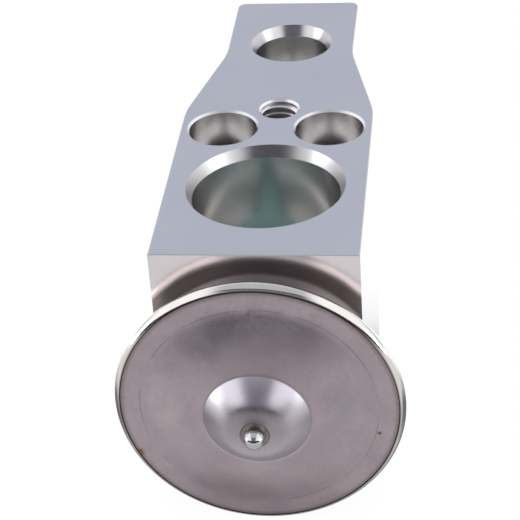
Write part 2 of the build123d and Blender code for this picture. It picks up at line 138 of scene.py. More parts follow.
class NodeBoard:
    """A node tree with short calls that add nodes and join their sockets."""

    def __init__(self, tree: bpy.types.NodeTree) -> None:
        """Start on an empty tree.

        Args:
            tree: The node tree of a material or of the world.
        """
        self.tree = tree
        tree.nodes.clear()

    def add(self, kind: str, sockets: dict | None = None, **settings: object) -> bpy.types.Node:
        """Add one node.

        Args:
            kind: The node's type without its ShaderNode prefix.
            sockets: Values or other nodes' sockets for its inputs, by name or number.
            settings: Attributes of the node, set before its inputs.

        Returns:
            The new node.
        """
        node = self.tree.nodes.new("ShaderNode" + kind)
        for name, value in settings.items():
            setattr(node, name, value)
        for name, value in (sockets or {}).items():
            self.feed(node.inputs[name], value)
        return node

    def feed(self, socket: Socket, value: object) -> None:
        """Join a socket to another one, or set its own value.

        Args:
            socket: The input socket.
            value: An output socket, a number, a vector or a colour.
        """
        if isinstance(value, bpy.types.NodeSocket):
            self.tree.links.new(value, socket)
        elif socket.type == "RGBA" and len(value) == 3:
            socket.default_value = (*value, 1.0)
        else:
            socket.default_value = value

    def spot(self) -> Socket:
        """Return the point on the piece in millimetres."""
        place = self.add("TexCoord").outputs["Object"]
        return self.vector("MULTIPLY", place, (1 / MM, 1 / MM, 1 / MM))

    def vector(self, operation: str, first: object, second: object = (0.0, 0.0, 0.0)) -> Socket:
        """Return the vector result of a vector operation on two vectors."""
        return self.add("VectorMath", {0: first, 1: second}, operation=operation).outputs["Vector"]

    def length(self, vector: object) -> Socket:
        """Return the length of a vector."""
        return self.add("VectorMath", {0: vector}, operation="LENGTH").outputs["Value"]

    def split(self, vector: Socket) -> tuple[Socket, Socket, Socket]:
        """Return the three parts of a vector."""
        outputs = self.add("SeparateXYZ", {"Vector": vector}).outputs
        return outputs["X"], outputs["Y"], outputs["Z"]

    def join(self, x: object, y: object, z: object) -> Socket:
        """Return the vector made of three numbers."""
        return self.add("CombineXYZ", {"X": x, "Y": y, "Z": z}).outputs["Vector"]

    def math(self, operation: str, first: object, second: object = 0.0) -> Socket:
        """Return the result of a math operation on two numbers."""
        return self.add("Math", {0: first, 1: second}, operation=operation).outputs["Value"]

    def sideways(self, vector: Socket) -> Socket:
        """Return the size of a vector's first part, which is alike to the left and the right."""
        return self.math("ABSOLUTE", self.split(vector)[0])

    def most(self, shares: Iterable[Socket]) -> object:
        """Return the greatest of some shares, or 0 where there are none.

        Args:
            shares: Numbers from 0 to 1.

        Returns:
            The greatest one.
        """
        total: object = 0.0
        for share in shares:
            total = self.math("MAXIMUM", total, share)
        return total

    def rise(self, value: Socket, step: Step) -> Socket:
        """Follow a number over a smooth step.

        Args:
            value: The number that is followed.
            step: The step.

        Returns:
            The stepped number.
        """
        sockets = {"Value": value, "From Min": step.low, "From Max": step.high}
        results = {"To Min": step.start, "To Max": step.end}
        return self.add("MapRange", sockets | results, interpolation_type="SMOOTHSTEP").outputs["Result"]

    def noise(self, vector: Socket, scale: float, detail: float = 3.0, roughness: float = 0.5) -> Socket:
        """Return fractal noise from 0 to 1.

        Args:
            vector: Where the noise is read, in millimetres.
            scale: Noise cells to a millimetre.
            detail: Octaves of finer noise.
            roughness: Strength of the finer octaves.

        Returns:
            The noise value.
        """
        sockets = {"Vector": vector, "Scale": scale, "Detail": detail, "Roughness": roughness}
        return self.add("TexNoise", sockets, noise_dimensions="3D").outputs["Fac"]

    def blend(self, share: object, first: object, second: object) -> Socket:
        """Mix two colours.

        Args:
            share: How much of the second colour there is, from 0 to 1.
            first: The colour at a share of 0.
            second: The colour at a share of 1.

        Returns:
            The mixed colour.
        """
        node = self.add("Mix", data_type="RGBA")
        for number, value in ((0, share), (6, first), (7, second)):
            self.feed(node.inputs[number], value)
        return node.outputs[2]

    def dimmed(self, colour: Socket, share: Socket) -> Socket:
        """Return a colour times a share."""
        return self.vector("MULTIPLY", colour, self.join(share, share, share))

    def turned(self, vector: Socket, degrees: Place, scale: Place) -> Socket:
        """Turn a vector and scale it along its new axes.

        Args:
            vector: The vector.
            degrees: How far it turns about each axis.
            scale: Its scale along each axis afterwards.

        Returns:
            The turned and scaled vector.
        """
        angles = tuple(math.radians(angle) for angle in degrees)
        turned = self.add("Mapping", {"Vector": vector, "Rotation": angles}).outputs["Vector"]
        return self.vector("MULTIPLY", turned, scale)

    def flat(self, spot: Socket) -> Socket:
        """Return a point seen along the valve axis, with no place along it."""
        return self.vector("MULTIPLY", spot, (1.0, 0.0, 1.0))

    def from_axis(self, spot: Socket) -> tuple[Socket, Socket]:
        """Say where a point lies around the valve axis.

        Args:
            spot: The point, in millimetres.

        Returns:
            Its distance from the axis and its angle around it.
        """
        centred = self.vector("SUBTRACT", self.flat(spot), (0.0, 0.0, AXIS_HEIGHT))
        x, _, z = self.split(centred)
        return self.length(centred), self.math("ARCTAN2", z, x)

    def near(self, spot: Socket, centre: Place, reach: float, stretch: Place = (1.0, 1.0, 1.0)) -> Socket:
        """Return 1 at a point and 0 beyond a reach.

        Args:
            spot: Where it is read, in millimetres.
            centre: The point.
            reach: How far the patch goes.
            stretch: Scale along each axis, below 1 for a longer patch.

        Returns:
            A smooth patch from 0 to 1.
        """
        away = self.vector("SUBTRACT", spot, centre)
        distance = self.length(self.vector("MULTIPLY", away, stretch))
        return self.rise(distance, Step(PATCH_CORE * reach, reach, 1.0, 0.0))


@dataclass(frozen=True)
class Finish:
    """A mottled finish in two close colours, and the base of the other finishes."""

    name: str
    colour: Colour
    second: Colour
    roughness: float
    metallic: float = 1.0
    mottle: float = 0.25
    grain: float = 3.0
    relief: float = 0.001
    swing: float = 0.15

    def material(self) -> bpy.types.Material:
        """Build the finish.

        Returns:
            A node material.
        """
        material = bpy.data.materials.new(self.name)
        material.use_nodes = True
        board = NodeBoard(material.node_tree)
        shader = board.add("BsdfPrincipled", {"Metallic": self.metallic})
        output = board.add("OutputMaterial")
        board.feed(output.inputs["Surface"], shader.outputs["BSDF"])
        self.dress(board, shader)
        return material

    def dress(self, board: NodeBoard, shader: bpy.types.Node) -> None:
        """Give the shader its colour, roughness and relief.

        Args:
            board: The material's node tree.
            shader: Its Principled BSDF.
        """
        spot = board.spot()
        grain = self.grained(board, spot)
        board.feed(shader.inputs["Base Color"], self.clouded(board, spot))
        board.feed(shader.inputs["Roughness"], self.uneven(board, grain))
        self.set_relief(board, shader, grain, self.relief)

    def clouds(self, board: NodeBoard, spot: Socket) -> Socket:
        """Return the share of the second colour, in soft clouds."""
        return board.rise(board.noise(spot, self.mottle), NOISE_BAND)

    def clouded(self, board: NodeBoard, spot: Socket) -> Socket:
        """Return both colours, mixed in soft clouds."""
        return board.blend(self.clouds(board, spot), self.colour, self.second)

    def grained(self, board: NodeBoard, spot: Socket) -> Socket:
        """Return the surface's fine grain, from 0 to 1."""
        return board.noise(spot, self.grain, detail=4.0, roughness=0.6)

    def uneven(self, board: NodeBoard, pattern: Socket) -> Socket:
        """Return the roughness, which swings both ways with a pattern from 0 to 1."""
        low, high = self.roughness * (1 - self.swing), self.roughness * (1 + self.swing)
        return board.rise(pattern, replace(NOISE_BAND, start=low, end=high))

    def set_relief(self, board: NodeBoard, shader: bpy.types.Node, height: Socket, depth: float) -> None:
        """Give the surface a fine relief.

        Args:
            board: The material's node tree.
            shader: Its Principled BSDF.
            height: A value from 0 to 1.
            depth: Its height at 1, in millimetres.
        """
        sockets = {"Height": height, "Distance": depth * MM, "Strength": 1.0}
        board.feed(shader.inputs["Normal"], board.add("Bump", sockets).outputs["Normal"])


@dataclass(frozen=True)
class MilledFinish(Finish):
    """Satin milled aluminium with faint streaks across the block."""

    swing: float = 0.18
    streak_turn: Place = (0.0, 0.0, 2.0)
    streak_scale: Place = (0.12, 3.5, 1.0)
    streak_shade: Step = Step(0.2, 0.8, 0.6, 1.0)
    streak_relief: float = 0.0006

    def dress(self, board: NodeBoard, shader: bpy.types.Node) -> None:
        """Give the face soft clouds, cross streaks and a fine satin grain.

        Args:
            board: The material's node tree.
            shader: Its Principled BSDF.
        """
        spot = board.spot()
        across = board.turned(spot, self.streak_turn, self.streak_scale)
        streaks = board.noise(across, 1.0, detail=4.0, roughness=0.6)
        share = board.math("MULTIPLY", self.clouds(board, spot), board.rise(streaks, self.streak_shade))
        board.feed(shader.inputs["Base Color"], board.blend(share, self.colour, self.second))
        board.feed(shader.inputs["Roughness"], self.uneven(board, streaks))
        height = board.math("ADD", self.grained(board, spot), streaks)
        self.set_relief(board, shader, height, self.streak_relief)


@dataclass(frozen=True)
class FacedFinish(Finish):
    """Bright faced aluminium with turning rings around the valve axis."""

    swing: float = 0.25
    ring_pitch: float = 0.12

    def dress(self, board: NodeBoard, shader: bpy.types.Node) -> None:
        """Give the face fine rings and a nearly mirror-bright shine.

        Args:
            board: The material's node tree.
            shader: Its Principled BSDF.
        """
        spot = board.spot()
        radius, _ = board.from_axis(spot)
        rings = board.noise(board.join(radius, 0.0, 0.0), 1 / self.ring_pitch, detail=2.0)
        board.feed(shader.inputs["Base Color"], self.clouded(board, spot))
        board.feed(shader.inputs["Roughness"], self.uneven(board, rings))
        self.set_relief(board, shader, rings, self.relief)


@dataclass(frozen=True)
class BoredFinish(Finish):
    """Machined bore walls with level tool marks."""

    swing: float = 0.1
    tool_pitch: float = 0.16

    def dress(self, board: NodeBoard, shader: bpy.types.Node) -> None:
        """Give the walls level rings and soft clouds.

        Args:
            board: The material's node tree.
            shader: Its Principled BSDF.
        """
        spot = board.spot()
        _, _, height = board.split(spot)
        rings = board.noise(board.join(0.0, 0.0, height), 1 / self.tool_pitch, detail=2.0)
        board.feed(shader.inputs["Base Color"], self.clouded(board, spot))
        board.feed(shader.inputs["Roughness"], self.uneven(board, rings))
        self.set_relief(board, shader, rings, self.relief)


@dataclass(frozen=True)
class LeadInFinish(Finish):
    """Cone at the mouth of a port, smoother at its middle than at its sides and painted darker there as
    shade.
    """

    middle_roughness: float = 0.2
    middle_shade_share: float = 0.82
    middle_x: float = 2.5
    side_x: float = 8.0

    def dress(self, board: NodeBoard, shader: bpy.types.Node) -> None:
        """Give the cone its clouds, and let roughness and the brightness, painted darker as shade at the
        middle, grow towards its sides.

        Args:
            board: The material's node tree.
            shader: Its Principled BSDF.
        """
        spot = board.spot()
        across = board.sideways(spot)
        to_side = Step(self.middle_x, self.side_x)
        # Painted shade: the middle of the cone is darker than its sides.
        bright = board.rise(across, replace(to_side, start=self.middle_shade_share))
        rough = board.rise(across, replace(to_side, start=self.middle_roughness, end=self.roughness))
        board.feed(shader.inputs["Base Color"], board.dimmed(self.clouded(board, spot), bright))
        board.feed(shader.inputs["Roughness"], rough)


@dataclass(frozen=True)
class ExtrudedFinish(Finish):
    """As-extruded aluminium with fine die lines from the back face to the port face."""

    swing: float = 0.3
    line_scale: Place = (4.0, 4.0, 0.06)
    line_relief: float = 0.0015

    def dress(self, board: NodeBoard, shader: bpy.types.Node) -> None:
        """Give the side walls their die lines and a few paler streaks.

        Args:
            board: The material's node tree.
            shader: Its Principled BSDF.
        """
        spot = board.spot()
        drawn_out = board.vector("MULTIPLY", spot, self.line_scale)
        lines = board.noise(drawn_out, 1.0, detail=4.0, roughness=0.65)
        share = board.math("MULTIPLY", self.clouds(board, spot), board.rise(lines, NOISE_BAND))
        board.feed(shader.inputs["Base Color"], board.blend(share, self.colour, self.second))
        board.feed(shader.inputs["Roughness"], self.uneven(board, lines))
        self.set_relief(board, shader, lines, self.line_relief)


@dataclass(frozen=True)
class TonePatch:
    """One cloudy patch, darker or lighter, on the power head, by its place on the disc."""

    x: float
    z: float
    reach: float
    long: float
    share: float = 0.85
    colour: Colour = PATCH_AND_SHADE_COLOUR


@dataclass(frozen=True)
class RustSpot:
    """One small rust spot on the power head's rim."""

    x: float
    z: float
    reach: float


@dataclass(frozen=True)
class PressedFinish(Finish):
    """Dull pressed stainless with darker and lighter patches, scratches, a cone painted brighter as a
    highlight, painted shade in the cone's foot crease and along the pressed ring, a pit painted dark as
    shade and braze tint, and rust at the rim.

    A step whose name ends in edge or fade follows the distance from the valve axis. One whose
    name ends in by_height follows the height above the back face.
    """

    # The cone colour is painted brighter than the sheet, as a highlight on the cone.
    cone_colour: Colour = (0.77, 0.73, 0.81)
    cone_roughness: float = 0.3
    cone_edge: Step = Step(CONE_FOOT_RADIUS - 0.1, CONE_FOOT_RADIUS + 0.05, 1.0, 0.0)
    crown_fade: Step = Step(3.3, 5.3, 0.2, 1.0)
    # Painted shade: the cone's painted highlight fades on its lower side.
    shade_by_height: Step = Step(16.5, 22.0, 0.3, 1.0)
    # Painted shade and highlight in the crease at the cone's foot: darker above, brighter below.
    crease_edge: Step = Step(CONE_FOOT_RADIUS, CONE_FOOT_RADIUS + 0.44, 0.45, 0.0)
    crease_by_height: Step = Step(11.0, 19.0)
    grain_edge: Step = Step(CONE_FOOT_RADIUS - 0.1, CONE_FOOT_RADIUS + 0.3)
    # The pit around the ball is painted dark, partly as shade in the gap and partly as brown braze tint.
    pit_shade_and_braze: Colour = (0.27, 0.23, 0.215)
    pit_edge: Step = Step(1.55, 2.1, 1.0, 0.0)
    rim_colour: Colour = (0.25, 0.21, 0.20)
    rim_edge: Step = Step(17.75, 18.5, 0.0, 0.8)
    # The pressed ring is painted as a thin dark line of shade.
    ring_radius: float = 15.84
    ring_line: Step = Step(0.027, 0.09, 1.0, 0.0)
    ring_patches: float = 2.6
    ring_breaks: Step = Step(0.42, 0.6, 0.1, 0.8)
    scratch_turns: tuple[float, ...] = (18.0, 63.0, 127.0)
    scratch_scale: Place = (4.0, 1.0, 0.16)
    scratch_line: Step = Step(0.70, 0.78, 0.0, 0.22)
    patch_and_shade_colour: Colour = PATCH_AND_SHADE_COLOUR
    tone_scale: float = 0.28
    tone_clouds: Step = Step(0.25, 0.65, 0.25, 1.0)
    tone_patches: tuple[TonePatch, ...] = ()
    rust_colour: Colour = (0.16, 0.065, 0.012)
    rust_grain: float = 2.4
    rust_clouds: Step = Step(0.25, 0.5)
    rust: tuple[RustSpot, ...] = ()

    def dress(self, board: NodeBoard, shader: bpy.types.Node) -> None:
        """Give the cover its clouds, patches, cone, pit and rust, and leave the cone without grain.

        Args:
            board: The material's node tree.
            shader: Its Principled BSDF.
        """
        spot = board.spot()
        radius, angle = board.from_axis(spot)
        _, _, height = board.split(spot)
        clouds = board.rise(board.noise(spot, self.mottle, detail=4.0, roughness=0.6), NOISE_BAND)
        colour = self.toned(board, spot, board.blend(clouds, self.colour, self.second))
        # The crease is painted dark as shade on its upper part and bright as a highlight on its lower part.
        upper = board.rise(height, self.crease_by_height)
        crease_light_and_shade = board.blend(upper, self.cone_colour, self.patch_and_shade_colour)
        cone = self.cone_share(board, radius, height)
        rust = self.rust_share(board, spot)
        layers = (
            (self.scratch_share(board, spot), self.cone_colour),
            (self.ring_share(board, radius, angle), self.patch_and_shade_colour),
            (board.rise(radius, self.crease_edge), crease_light_and_shade),
            (cone, self.cone_colour),
            (board.rise(radius, self.rim_edge), self.rim_colour),
            # Painted shade and braze tint in the pit.
            (board.rise(radius, self.pit_edge), self.pit_shade_and_braze),
            (rust, self.rust_colour),
        )
        for share, layer in layers:
            colour = board.blend(share, colour, layer)
        board.feed(shader.inputs["Base Color"], colour)
        board.feed(shader.inputs["Metallic"], board.math("SUBTRACT", 1.0, rust))
        grain = self.grained(board, spot)
        dull = self.uneven(board, grain)
        apart = board.math("MULTIPLY", cone, board.math("SUBTRACT", dull, self.cone_roughness))
        board.feed(shader.inputs["Roughness"], board.math("SUBTRACT", dull, apart))
        grain = board.math("MULTIPLY", grain, board.rise(radius, self.grain_edge))
        self.set_relief(board, shader, grain, self.relief)

    def cone_share(self, board: NodeBoard, radius: Socket, height: Socket) -> Socket:
        """Return where the cone is painted brighter as a highlight, less so on its crown, and with painted
        shade on its lower side.
        """
        # Painted shade on the cone's lower side, and less of the painted highlight on its crown.
        highlight_fade = board.math(
            "MULTIPLY", board.rise(radius, self.crown_fade), board.rise(height, self.shade_by_height)
        )
        return board.math("MULTIPLY", board.rise(radius, self.cone_edge), highlight_fade)

    def toned(self, board: NodeBoard, spot: Socket, colour: Socket) -> Socket:
        """Lay the darker and lighter cloudy patches over a colour.

        Args:
            board: The material's node tree.
            spot: The point on the cover.
            colour: The colour without the patches.

        Returns:
            The colour with the patches.
        """
        cloudy = board.rise(board.noise(spot, self.tone_scale, roughness=0.6), self.tone_clouds)
        flat = board.flat(spot)
        for mark in self.tone_patches:
            patch = board.near(flat, (mark.x, 0.0, mark.z), mark.reach, (1 / mark.long, 1.0, 1.0))
            share = board.math("MULTIPLY", board.math("MULTIPLY", patch, cloudy), mark.share)
            colour = board.blend(share, colour, mark.colour)
        return colour

    def scratch_share(self, board: NodeBoard, spot: Socket) -> Socket:
        """Draw a few thin scratches in different directions.

        Args:
            board: The material's node tree.
            spot: The point on the cover.

        Returns:
            Their share of the colour.
        """
        scratches = []
        for degrees in self.scratch_turns:
            along = board.turned(spot, (0.0, degrees, 0.0), self.scratch_scale)
            scratches.append(board.rise(board.noise(along, 1.0, detail=2.0), self.scratch_line))
        return board.most(scratches)

    def ring_share(self, board: NodeBoard, radius: Socket, angle: Socket) -> Socket:
        """Draw the thin pressed ring as a line of painted shade, broken here and there.

        Args:
            board: The material's node tree.
            radius: The point's distance from the valve axis.
            angle: Its angle around the axis.

        Returns:
            The ring's share of the colour.
        """
        off = board.math("ABSOLUTE", board.math("SUBTRACT", radius, self.ring_radius))
        around = board.join(board.math("COSINE", angle), board.math("SINE", angle), 0.0)
        unbroken = board.rise(board.noise(around, self.ring_patches), self.ring_breaks)
        return board.math("MULTIPLY", board.rise(off, self.ring_line), unbroken)

    def rust_share(self, board: NodeBoard, spot: Socket) -> Socket:
        """Draw the rust spots with ragged edges.

        Args:
            board: The material's node tree.
            spot: The point on the cover.

        Returns:
            Their share of the colour.
        """
        ragged = board.rise(board.noise(spot, self.rust_grain, roughness=0.7), self.rust_clouds)
        flat = board.flat(spot)
        patches = [board.near(flat, (mark.x, 0.0, mark.z), mark.reach) for mark in self.rust]
        return board.math("MULTIPLY", board.most(patches), ragged)


@dataclass(frozen=True)
class BeadFinish(Finish):
    """Polished weld bead, browned along its seam with the cover and painted warm and bright at its back, as
    a sheen of warm light.
    """

    swing: float = 0.2
    seam_edge: Step = Step(18.62, 18.82, 1.0, 0.0)
    seam_colour: Colour = (0.36, 0.31, 0.29)
    # Painted warm sheen: the bead's back is tinted and brightened to stand for warm light that it reflects.
    back_y: Step = Step(-36.7, -36.2)
    warm_sheen_colour: Colour = (0.98, 0.90, 0.84)

    def dress(self, board: NodeBoard, shader: bpy.types.Node) -> None:
        """Give the bead its shine, slight ripples, the painted warm sheen at its back and the browned seam.

        Args:
            board: The material's node tree.
            shader: Its Principled BSDF.
        """
        spot = board.spot()
        radius, _ = board.from_axis(spot)
        _, along, _ = board.split(spot)
        ripples = board.noise(spot, self.grain, detail=2.0)
        tinted = board.blend(board.rise(along, self.back_y), self.clouded(board, spot), self.warm_sheen_colour)
        seam = board.rise(radius, self.seam_edge)
        board.feed(shader.inputs["Base Color"], board.blend(seam, tinted, self.seam_colour))
        board.feed(shader.inputs["Roughness"], self.uneven(board, ripples))
        self.set_relief(board, shader, ripples, self.relief)


@dataclass(frozen=True)
class BallFinish(Finish):
    """Polished steel ball on the valve axis, rougher on its lower side, which is painted darker as shade."""

    lower_shade_share: float = 0.68
    dull_roughness: float = 0.22
    dull_rise: float = 0.1
    bright_rise: float = 0.45

    def dress(self, board: NodeBoard, shader: bpy.types.Node) -> None:
        """Give the ball its shine, and its rougher lower side with painted shade.

        Args:
            board: The material's node tree.
            shader: Its Principled BSDF.
        """
        spot = board.spot()
        _, _, height = board.split(spot)
        upwards = Step(AXIS_HEIGHT + self.dull_rise, AXIS_HEIGHT + self.bright_rise)
        # Painted shade: the ball's lower side is darker, and its upper side keeps the full colour.
        bright = board.rise(height, replace(upwards, start=self.lower_shade_share))
        rough = board.rise(height, replace(upwards, start=self.dull_roughness, end=self.roughness))
        board.feed(shader.inputs["Base Color"], board.dimmed(self.clouded(board, spot), bright))
        board.feed(shader.inputs["Roughness"], rough)


@dataclass(frozen=True)
class DrawnFinish(Finish):
    """Drawn or ground metal with fine lines around the valve axis."""

    swing: float = 0.2
    line_pitch: float = 0.1

    def dress(self, board: NodeBoard, shader: bpy.types.Node) -> None:
        """Give the piece fine rings, one after the other along the axis.

        Args:
            board: The material's node tree.
            shader: Its Principled BSDF.
        """
        spot = board.spot()
        radius, _ = board.from_axis(spot)
        _, along, _ = board.split(spot)
        rings = board.noise(board.join(along, radius, 0.0), 1 / self.line_pitch, detail=2.0)
        board.feed(shader.inputs["Base Color"], self.clouded(board, spot))
        board.feed(shader.inputs["Roughness"], self.uneven(board, rings))
        self.set_relief(board, shader, rings, self.relief)


class BlockSurface(IntEnum):
    """The kinds of surface on the valve block, in the order of its material slots."""

    MILLED = 0
    FACED = 1
    EXTRUDED = 2
    BORED = 3
    LEAD_IN = 4


BLOCK_FINISHES: dict[BlockSurface, Finish] = {
    BlockSurface.MILLED: MilledFinish(
        "block_milled", (0.66, 0.665, 0.72), (0.69, 0.695, 0.745), 0.34, mottle=0.07, grain=5.0
    ),
    BlockSurface.FACED: FacedFinish(
        "block_faced", (0.80, 0.745, 0.77), (0.84, 0.785, 0.81), 0.19, mottle=0.12, relief=0.00015
    ),
    BlockSurface.EXTRUDED: ExtrudedFinish(
        "block_extruded", (0.86, 0.87, 0.89), (0.90, 0.905, 0.92), 0.22, mottle=0.1
    ),
    BlockSurface.BORED: BoredFinish(
        "block_bored", (0.91, 0.90, 0.895), (0.94, 0.925, 0.915), 0.24, mottle=0.2, relief=0.00004
    ),
    BlockSurface.LEAD_IN: LeadInFinish(
        "block_lead_in", (0.90, 0.89, 0.92), (0.93, 0.92, 0.94), 0.4, mottle=0.2
    ),
}
# Painted light in the tapped hole: upward slopes get this lit colour, steep or lower slopes the darker
# painted shade below.
LIT_SLOPE_FINISH = BoredFinish(
    "block_countersink", (0.88, 0.87, 0.90), (0.91, 0.90, 0.92), 0.24, mottle=0.2, relief=0.00002
)
SHADED_SLOPE_FINISH = BoredFinish(
    "thread_shaded_slopes", (0.56, 0.55, 0.57), (0.62, 0.61, 0.62), 0.3, relief=0.0001
)
COVER_FINISH = PressedFinish(
    "cover_pressed",
    (0.44, 0.368, 0.402),
    (0.50, 0.427, 0.46),
    0.42,
    mottle=0.16,
    grain=2.2,
    relief=0.001,
    tone_patches=(
        TonePatch(-6.6, 28.0, 3.6, 1.3, 0.55),
        TonePatch(-3.2, 30.2, 3.0, 1.5, 0.6),
        TonePatch(6.6, 28.8, 3.2, 1.1, 0.3),
        TonePatch(-12.6, 18.0, 6.5, 0.6, 0.75, (0.58, 0.50, 0.53)),
        TonePatch(-11.0, 9.4, 4.5, 1.2, 0.5, (0.56, 0.48, 0.51)),
        TonePatch(-0.5, 7.4, 4.0, 2.4, 0.6, (0.58, 0.50, 0.53)),
        TonePatch(10.6, 18.6, 7.0, 0.5, 0.45, (0.36, 0.33, 0.38)),
        TonePatch(-4.6, 3.6, 4.2, 1.8, 0.5, (0.30, 0.25, 0.27)),
        TonePatch(10.0, 6.4, 5.0, 1.4, 0.4, (0.56, 0.48, 0.50)),
    ),
    rust=(RustSpot(-16.6, 9.1, 0.9), RustSpot(15.8, 13.1, 0.4)),
)
UNDERSIDE_FINISH = DrawnFinish(
    "cover_underside", (0.42, 0.395, 0.38), (0.47, 0.44, 0.425), 0.36, mottle=0.2
)
BEAD_FINISH = BeadFinish(
    "bead_polished", (0.84, 0.81, 0.79), (0.89, 0.86, 0.84), 0.13, mottle=0.3, grain=1.6, relief=0.002
)
BALL_FINISH = BallFinish("ball_polished", (0.74, 0.74, 0.76), (0.78, 0.78, 0.79), 0.13)
THIN_SHEET_FINISH = DrawnFinish("thin_stainless", (0.56, 0.55, 0.54), (0.62, 0.61, 0.60), 0.26)
ROD_FINISH = DrawnFinish("rod_turned", (0.70, 0.71, 0.72), (0.75, 0.76, 0.77), 0.28)
SLEEVE_FINISH = Finish(
    "sleeve_moulded", (0.22, 0.42, 0.40), (0.26, 0.46, 0.44), 0.42, metallic=0.0, relief=0.002
)
RUBBER_FINISH = Finish(
    "seal_moulded", (0.02, 0.045, 0.037), (0.03, 0.06, 0.05), 0.62, metallic=0.0, relief=0.004
)
SEAT_FINISH = DrawnFinish("seat_turned", (0.58, 0.58, 0.59), (0.63, 0.63, 0.64), 0.2)
SPRING_FINISH = Finish("spring_drawn", (0.42, 0.42, 0.44), (0.50, 0.50, 0.52), 0.24, relief=0.0006)
BRASS_FINISH = DrawnFinish("brass_turned", (0.72, 0.56, 0.27), (0.78, 0.63, 0.33), 0.24)


def merged_copy(
    node: str, piece: str, finish: Finish | None = None, rides: bool = True
) -> bpy.types.Object:
    """Stand a smooth-shaded copy of a CAD node in the node's place.

    Args:
        node: The CAD node.
        piece: Name of the copy.
        finish: The copy's finish, or None where its owner dresses it.
        rides: Whether the copy rides on the node's body.

    Returns:
        The copy, which replaces the node.
    """
    smooth_limit = math.radians(20.0)
    merge_distance = 0.0005 * MM
    source = bpy.data.objects[node]
    mesh = source.data.copy()
    mesh.name = piece
    for attribute in [a for a in mesh.attributes if a.name == "custom_normal"]:
        mesh.attributes.remove(attribute)
    sheet = bmesh.new()
    sheet.from_mesh(mesh)
    bmesh.ops.remove_doubles(sheet, verts=sheet.verts, dist=merge_distance)
    for face in sheet.faces:
        face.smooth = True
    for edge in sheet.edges:
        edge.smooth = len(edge.link_faces) == 2 and edge.calc_face_angle(math.pi) < smooth_limit
    sheet.to_mesh(mesh)
    sheet.free()
    mesh.materials.clear()
    copy = bpy.data.objects.new(piece, mesh)
    bpy.context.scene.collection.objects.link(copy)
    weighted = copy.modifiers.new("even_normals", "WEIGHTED_NORMAL")
    weighted.keep_sharp = True
    if finish is not None:
        mesh.materials.append(finish.material())
    if rides:
        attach(copy, source["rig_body"])
    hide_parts(node)
    log.info("%s stands for %s with %d faces", piece, node, len(mesh.polygons))
    return copy


@dataclass
class ScrewThread:
    """Inside thread of a tapped hole in the port face, with its countersunk mouth."""

    major_radius: float = 3.02
    minor_radius: float = 2.5
    pitch: float = 1.0
    crest_width: float = 0.16
    root_width: float = 0.84
    start_below: float = 0.08
    length: float = 13.4
    mouth_radius: float = 2.69
    countersink_depth: float = 0.33
    countersink_end: float = 0.42
    countersink_back: float = 0.76
    hole_x: float = 0.0
    hole_y: float = 5.5
    steps_per_turn: int = 48
    bright_slope: float = 0.6

    def build(self) -> bpy.types.Object:
        """Turn the countersunk mouth and wind the thread's ridge down the hole from it.

        Returns:
            Both as closed solids in one piece, which is part of the block's body.
        """
        turns = (self.length - self.root_width) / self.pitch
        top = self.start_below + self.root_width / 2
        ridge_section = (
            (self.major_radius, top - self.root_width / 2),
            (self.minor_radius, top - self.crest_width / 2),
            (self.minor_radius, top + self.crest_width / 2),
            (self.major_radius, top + self.root_width / 2),
        )
        mouth_section = (
            (self.major_radius, 0.0),
            (self.mouth_radius, self.countersink_depth),
            (self.mouth_radius, self.countersink_end),
            (self.major_radius, self.countersink_back),
        )
        sheet = bmesh.new()
        self.spin(sheet, ridge_section, turns, turns * self.pitch)
        self.spin(sheet, mouth_section, 1.0, 0.0)
        bmesh.ops.recalc_face_normals(sheet, faces=sheet.faces)
        mesh = bpy.data.meshes.new("plate_screw_thread")
        sheet.to_mesh(mesh)
        sheet.free()
        thread = bpy.data.objects.new("plate_screw_thread", mesh)
        bpy.context.scene.collection.objects.link(thread)
        self.dress(mesh)
        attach(thread, "block")
        log.info("plate_screw_thread winds %.1f turns", turns)
        return thread

    def dress(self, mesh: bpy.types.Mesh) -> None:
        """Paint the slopes that face the light in the lit colour, and the steep or lower ones darker as
        painted shade.

        Args:
            mesh: The thread's mesh.
        """
        mesh.materials.append(LIT_SLOPE_FINISH.material())
        mesh.materials.append(SHADED_SLOPE_FINISH.material())
        for polygon in mesh.polygons:
            steep = abs(polygon.normal.z) < self.bright_slope
            polygon.material_index = int(steep or polygon.normal.z < 0.0)

    def spin(self, sheet: bmesh.types.BMesh, section: Section, turns: float, drop: float) -> None:
        """Turn a section round the hole's axis.

        Args:
            sheet: The mesh that takes the new faces.
            section: The section's corners, each a radius and a depth below the port face.
            turns: How far it turns.
            drop: How far it sinks meanwhile, or 0 for a closed ring.
        """
        steps = round(turns * self.steps_per_turn)
        corners = [
            sheet.verts.new(((self.hole_x + radius) * MM, self.hole_y * MM, (BLOCK_DEPTH - depth) * MM))
            for radius, depth in section
        ]
        face = sheet.faces.new(corners)
        bmesh.ops.spin(
            sheet,
            geom=[*corners, *face.edges, face],
            cent=(self.hole_x * MM, self.hole_y * MM, 0.0),
            axis=(0.0, 0.0, 1.0),
            dvec=(0.0, 0.0, -drop * MM / steps),
            angle=-turns * math.tau,
            steps=steps,
            use_merge=drop == 0.0,
            use_duplicate=False,
        )


@dataclass
class PortBore:
    """A round opening in the port face or the back face, by its widest radius."""

    x: float
    y: float
    radius: float


